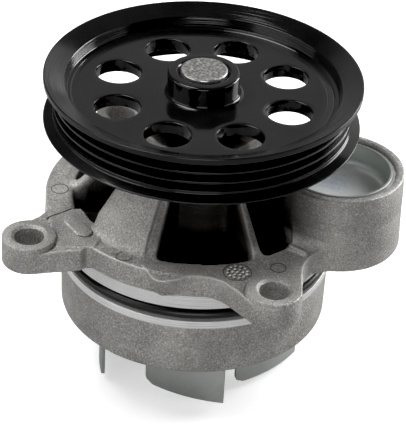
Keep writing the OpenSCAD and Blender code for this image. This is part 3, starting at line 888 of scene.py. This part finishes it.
# ------------------------------------------------------------------ pulley
def web_with_holes(z_top, z_low, steps):
    """Flat web with round holes, as a grid round every hole, with steps in each of its arcs."""
    verts, faces = [], []
    sect = 2 * math.pi / HOLE_N
    side, ring_n, lip_n = 12, 4, 3
    r0, r1 = WEB_IN_R, WEB_OUT_R

    def at(r, a):
        return r * math.cos(a), r * math.sin(a)

    for k in range(HOLE_N):
        mid = math.radians(HOLE_TURN) + k * sect
        c = np.array(at(HOLE_CIRCLE, mid))
        first, last = mid - sect / 2, mid + sect / 2
        # edge of this hole's share: outer arc, in, inner arc, out
        edge = [at(r1, first + sect * i / steps) for i in range(steps)]
        edge += [at(r1 + (r0 - r1) * i / side, last) for i in range(side)]
        edge += [at(r0, last - sect * i / steps) for i in range(steps)]
        edge += [at(r0 + (r1 - r0) * i / side, first) for i in range(side)]
        edge = np.array(edge)
        m = len(edge)
        ang = np.unwrap(np.arctan2(edge[:, 1] - c[1], edge[:, 0] - c[0]))
        even = ang[0] + 2 * math.pi * np.arange(m) / m * np.sign(ang[-1] - ang[0])
        ang = 0.5 * ang + 0.5 * even

        def circle(r):
            return np.stack([c[0] + r * np.cos(ang), c[1] + r * np.sin(ang)], 1)

        b = HOLE_LIP
        lip = circle(HOLE_R + b)
        shares = [j / ring_n for j in range(ring_n + 1)]
        turns = [math.pi / 2 * q / lip_n for q in range(lip_n + 1)]
        # over the top face, round the upper lip, down the wall, round the lower lip, and back
        rows = [(edge * (1 - t) + lip * t, z_top) for t in shares]
        rows += [(circle(HOLE_R + b * (1 - math.sin(q))), z_top - b * (1 - math.cos(q)))
                 for q in turns[1:]]
        rows += [(circle(HOLE_R + b * (1 - math.cos(q))), z_low + b * (1 - math.sin(q)))
                 for q in turns]
        rows += [(lip * (1 - t) + edge * t, z_low) for t in shares[1:]]
        base = len(verts)
        verts += [(p[0], p[1], z) for pts, z in rows for p in pts]
        for j in range(len(rows) - 1):
            a, d = base + j * m, base + (j + 1) * m
            faces += [(a + i, a + (i + 1) % m, d + (i + 1) % m, d + i) for i in range(m)]
    return verts, faces


def make_pulley():
    top, low, bottom = PULLEY_TOP - WEB_DROP, PULLEY_TOP - WEB_DROP - WEB_T, PULLEY_TOP - RIM_H
    steps = 24
    rim = [(WEB_OUT_R, top), (44.5, top, 0.35), (44.8, top + 0.28, 0.25), (46.1, top + 0.38, 0.45),
           (46.85, PULLEY_TOP - 2.65, 0.5), (PULLEY_R - 0.45, PULLEY_TOP, 0.35),
           (PULLEY_R, PULLEY_TOP - 0.1, 0.2), (PULLEY_R, PULLEY_TOP - 1.97, 0.3),
           (CREST_R, PULLEY_TOP - 3.25, 0.4)]
    root = CREST_R - GROOVE_DEPTH
    for k in range(GROOVE_N):
        zc = PULLEY_TOP - GROOVE_FIRST - k * GROOVE_PITCH
        rim += [(CREST_R, zc + GROOVE_HALF, 0.22), (root, zc + GROOVE_FLOOR, 0.25),
                (root, zc - GROOVE_FLOOR, 0.25), (CREST_R, zc - GROOVE_HALF, 0.22)]
    rim += [(CREST_R, bottom + 1.85, 0.4), (PULLEY_R, bottom + 0.57, 0.2), (PULLEY_R, bottom, 0.2),
            (RIM_IN_R, bottom, 0.6), (RIM_IN_R, low, 1.2), (WEB_OUT_R, low)]
    foot_r, bore, head = HUB_R + 1.6, SHAFT_R + 0.01, PULLEY_TOP + HUB_RISE
    hub = [(WEB_IN_R, low), (foot_r, low, 0.8), (foot_r, HUB_FOOT, 0.8),
           (HUB_R + 0.6, HUB_LOW, 0.3), (bore, HUB_LOW, 0.3), (bore, PULLEY_TOP + 0.1, 0.2),
           (SHAFT_R + 1.3, head, 0.4), (HUB_R, head, 0.9), (HUB_R, top, 1.6), (WEB_IN_R, top)]
    verts, faces = web_with_holes(top, low, steps)
    # the seams of the turned parts meet those of the web
    turn = math.radians(HOLE_TURN) - math.pi / HOLE_N
    ct, st = math.cos(turn), math.sin(turn)
    for prof in (rounded(rim, 4, closed=False), rounded(hub, 5, closed=False)):
        v, f = revolve(prof, HOLE_N * steps, closed=False)
        base = len(verts)
        verts += [(x * ct - y * st, x * st + y * ct, z) for x, y, z in v]
        faces += [tuple(i + base for i in q) for q in f]
    ob = new_object("pulley_body", verts, faces, "rotor", "black_paint")
    outward(ob, weld=2e-6)
    ob.data.set_sharp_from_angle(angle=math.radians(40))
    paint(ob, "paint")
    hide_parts("pulley")


make_pulley()


# ------------------------------------------------------------------ shaft
def make_shaft():
    rng = np.random.default_rng(7)
    seg, rings, waves = 96, 14, 10
    prof = [(SHAFT_R - 0.6, SHAFT_LOW, 0.1), (SHAFT_R, SHAFT_LOW + 0.6, 0.1), (SHAFT_R, 20, 0),
            (SHAFT_R, SHAFT_TOP - 1.0, 0)]
    pts = [(0, SHAFT_LOW)] + rounded(prof, 2, closed=False)
    verts, faces = revolve(pts, seg, closed=False)
    base = len(verts) - seg
    last = list(range(base, base + seg))
    # rounded shoulder and the uneven end face
    shoulder = [(SHAFT_R, SHAFT_TOP - 0.9), (SHAFT_R - 0.12, SHAFT_TOP - 0.45),
                (SHAFT_R - 0.5, SHAFT_TOP - 0.16)]
    end = [((SHAFT_R - 0.9) * (1 - i / rings), SHAFT_TOP - 0.08) for i in range(rings)]
    phase = rng.uniform(0, 6.28, (waves, 2))
    freq = rng.uniform(0.6, 2.6, (waves, 2)) * rng.choice([-1, 1], (waves, 2))

    def lump(x, y):
        return sum(math.sin(freq[i, 0] * x + phase[i, 0]) * math.sin(freq[i, 1] * y + phase[i, 1])
                   for i in range(waves)) / waves

    for j, (r, z) in enumerate(shoulder + end):
        now = []
        for k in range(seg):
            a = 2 * math.pi * k / seg
            x, y = r * math.cos(a), r * math.sin(a)
            dz = 0 if j < len(shoulder) else 0.30 * lump(x, y) - 0.10
            now.append(len(verts))
            verts.append((x, y, min(z + dz, SHAFT_TOP)))
        for k in range(seg):
            faces.append((last[k], last[(k + 1) % seg], now[(k + 1) % seg], now[k]))
        last = now
    tip = len(verts)
    verts.append((0, 0, SHAFT_TOP - 0.15))
    faces += [(last[k], last[(k + 1) % seg], tip) for k in range(seg)]
    ob = new_object("pump_shaft", verts, faces, "rotor", "shaft_steel")
    outward(ob)
    ob.data.set_sharp_from_angle(angle=math.radians(50))
    paint(ob, "shaft", "shaft_end", second=lambda x, y, z: z > SHAFT_TOP - 0.6)
    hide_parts("shaft")


make_shaft()


# ------------------------------------------------------------------ impeller
def blade_grid(side, cols, rows):
    """Points of the outer (0) or inner (1) face of the first blade, row by row from the plate."""
    root = PLATE_Z - 0.7
    span = math.radians(BLADE_SPAN)
    r = BLADE_ARC - SHEET_T * side
    points = []
    for j in range(rows + 1):
        z = root + (BLADE_LOW - PLATE_Z + 0.7) * (j / rows)
        # the inner end's lower corner is rounded
        depth = BLADE_LOW + BLADE_CORNER - z
        back = 0.0
        if depth > 0:
            back = BLADE_CORNER - math.sqrt(max(BLADE_CORNER * BLADE_CORNER - depth * depth, 0))
        back /= BLADE_ARC
        for i in range(cols + 1):
            a = math.radians(BLADE_A0) + back + (span - back) * (i / cols)
            points.append((BLADE_C[0] + r * math.cos(a), BLADE_C[1] + r * math.sin(a), z))
    return points


def make_impeller():
    low = PLATE_Z - PLATE_SHEET
    plate = [(PLATE_IN_R, low, 0.2), (PLATE_R, low, 0.35), (PLATE_R, PLATE_Z, 0.35),
             (PLATE_IN_R, PLATE_Z, 0.2)]
    verts, faces = revolve(rounded(plate, 3), 160)
    cols, rows = 28, 18
    across, count = cols + 1, (cols + 1) * (rows + 1)
    blade = blade_grid(0, cols, rows) + blade_grid(1, cols, rows)
    for b in range(BLADE_N):
        # the first two blades stand closer than the others
        turn = 0.0 if b == 0 else math.radians(
            BLADE_GAP + (b - 1) * (360 - 360 / BLADE_N - BLADE_GAP) / (BLADE_N - 2))
        ct, st = math.cos(turn), math.sin(turn)
        base = len(verts)
        verts += [(x * ct - y * st, x * st + y * ct, z) for x, y, z in blade]
        for p in (base, base + count):
            faces += [(q, q + 1, q + 1 + across, q + across)
                      for q in (p + across * j + i for j in range(rows) for i in range(cols))]
        # the sheet's upper, lower, inner and outer edges
        for start, step, n in ((0, 1, cols), (across * rows, 1, cols),
                               (0, across, rows), (cols, across, rows)):
            faces += [(q, q + step, q + step + count, q + count)
                      for q in (base + start + step * i for i in range(n))]
    ob = new_object("impeller_wheel", verts, faces, "rotor", "sheet_steel")
    outward(ob)
    bev = ob.modifiers.new("edges", "BEVEL")
    bev.width, bev.segments = 0.00022, 2
    bev.limit_method, bev.angle_limit = "ANGLE", math.radians(50)
    ob.data.set_sharp_from_angle(angle=math.radians(60))
    paint(ob, "sheet")
    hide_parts("impeller")


make_impeller()


# ------------------------------------------------------------------ CAD nodes that stay
for node, mat in {
    "bearing_outer_ring": "bearing", "bearing_seal_front": "rubber", "bearing_seal_rear": "rubber",
    "bearing_balls": "bearing", "bearing_rollers": "bearing", "ball_cage": "cage",
    "roller_cage": "cage", "impeller_hub": "hub", "seal_cup": "brass", "seal_bellows": "rubber",
    "seal_spring": "spring", "seal_collar": "bearing", "seal_carbon_ring": "carbon",
    "seal_mating_ring": "ceramic", "seal_mating_boot": "rubber",
}.items():
    paint(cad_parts[node], mat)


# ------------------------------------------------------------------ floor
def make_floor():
    """Plain pale table. Little of its light comes back up, as on a table cleared all round."""
    n = Nodes("pale_floor")
    seen = n.node("LightPath").outputs["Is Camera Ray"]
    tone = n.mix(n.noise(9, 3, 0.5), (0.86, 0.86, 0.86), (0.90, 0.90, 0.90))
    n.done(n.mix(seen, (0.30, 0.30, 0.30), tone), 0.6)
    n.put(n.bsdf.inputs["Emission Color"], (1, 1, 1, 1))
    n.put(n.bsdf.inputs["Emission Strength"], n.times(seen, FLOOR_GLOW))
    bpy.ops.mesh.primitive_plane_add(size=6, location=(0, 0, FLOOR_Z * MM))
    ob = bpy.context.object
    ob.name = "studio_floor"
    ob.data.materials.append(n.m)


make_floor()


# ------------------------------------------------------------------ camera
# Elevation and roll in degrees, distance and offsets from the pulley's top centre in mm.
CAM_EL, CAM_ROLL, CAM_FAR, CAM_OFF = 33.43, 3.23, 640, (-0.356, -46.69)


def make_camera():
    el, roll = math.radians(CAM_EL), math.radians(CAM_ROLL)
    back = Vector((0, -math.cos(el), math.sin(el)))
    right, up = Vector((1, 0, 0)), Vector((0, math.sin(el), math.cos(el)))
    cam_x = math.cos(roll) * right + math.sin(roll) * up
    cam_y = -math.sin(roll) * right + math.cos(roll) * up
    top = Vector((0, 0, PULLEY_TOP))
    pose = Matrix((cam_x, cam_y, back)).transposed().to_4x4()
    pose.translation = (top + CAM_OFF[0] * cam_x + CAM_OFF[1] * cam_y + CAM_FAR * back) * MM
    cam = bpy.data.cameras.new("camera")
    cam.sensor_width, cam.lens = 36.0, 160.55
    cam.clip_start, cam.clip_end = 0.01, 20
    ob = bpy.data.objects.new("camera", cam)
    bpy.context.scene.collection.objects.link(ob)
    ob.matrix_world = pose
    bpy.context.scene.camera = ob


make_camera()


# ------------------------------------------------------------------ light
def softbox(name, azimuth, height, power, size=0.5, far=0.95):
    """Square soft light at an azimuth and elevation in degrees, aimed at the pump's middle."""
    a, e = math.radians(azimuth), math.radians(height)
    light = bpy.data.lights.new(name, "AREA")
    light.shape = "RECTANGLE"
    light.size = light.size_y = size
    light.energy = power
    ob = bpy.data.objects.new(name, light)
    bpy.context.scene.collection.objects.link(ob)
    ob.location = (far * math.cos(a) * math.cos(e), far * math.sin(a) * math.cos(e),
                   far * math.sin(e))
    ob.rotation_mode = "QUATERNION"
    ob.rotation_quaternion = (-ob.location).to_track_quat("-Z", "Y")
    return ob


def shade(light, *names):
    """Keep a light off some pieces, as a flag on a stand would."""
    group = bpy.data.collections.new(light.name + "_flag")
    light.light_linking.receiver_collection = group
    for name in names:
        group.objects.link(bpy.data.objects[name])
    for item in group.collection_objects:
        item.light_linking.link_state = "EXCLUDE"


softbox("left_low", -175, 15, 1.1)
left_high = softbox("left_high", -175, 65, 5.2)
softbox("front_left_low", -145, 15, 1.3)
softbox("front_low", -90, 8, 2.5)
right_low = softbox("right_low", 30, 15, 9.0)
softbox("right_side", -5, 15, 0.8)
right_high = softbox("right_high", 30, 42, 3.0)
back_left = softbox("back_left", 150, 42, 2.6)
softbox("back_card", 95, 22, 0.98, size=1.0, far=1.3)
softbox("rim_card", 64, 24, 0.5)
# the guessed ear behind the pulley stays dull, and the pulley's flange doesn't glare
shade(right_low, "ear_ring_4")
shade(left_high, "ear_ring_4")
shade(right_high, "ear_ring_4", "pulley_body")
shade(back_left, "pulley_body")


def make_world(light, seen):
    """White surroundings, with one strength as light and another to the camera."""
    world = bpy.data.worlds.new("studio")
    bpy.context.scene.world = world
    world.use_nodes = True
    tree = world.node_tree
    bg = tree.nodes["Background"]
    bg.inputs["Color"].default_value = (1, 1, 1, 1)
    ray = tree.nodes.new("ShaderNodeLightPath")
    pick = tree.nodes.new("ShaderNodeMapRange")
    tree.links.new(ray.outputs["Is Camera Ray"], pick.inputs["Value"])
    pick.inputs["To Min"].default_value = light
    pick.inputs["To Max"].default_value = seen
    tree.links.new(pick.outputs[0], bg.inputs["Strength"])


make_world(0.06, 1.1)

view = bpy.context.scene.view_settings
view.view_transform = "Standard"
view.look = "None"
view.exposure = 0.0
view.gamma = 1.0
view.use_curve_mapping = True
view.curve_mapping.black_level = (0.010, 0.010, 0.010)
view.curve_mapping.update()
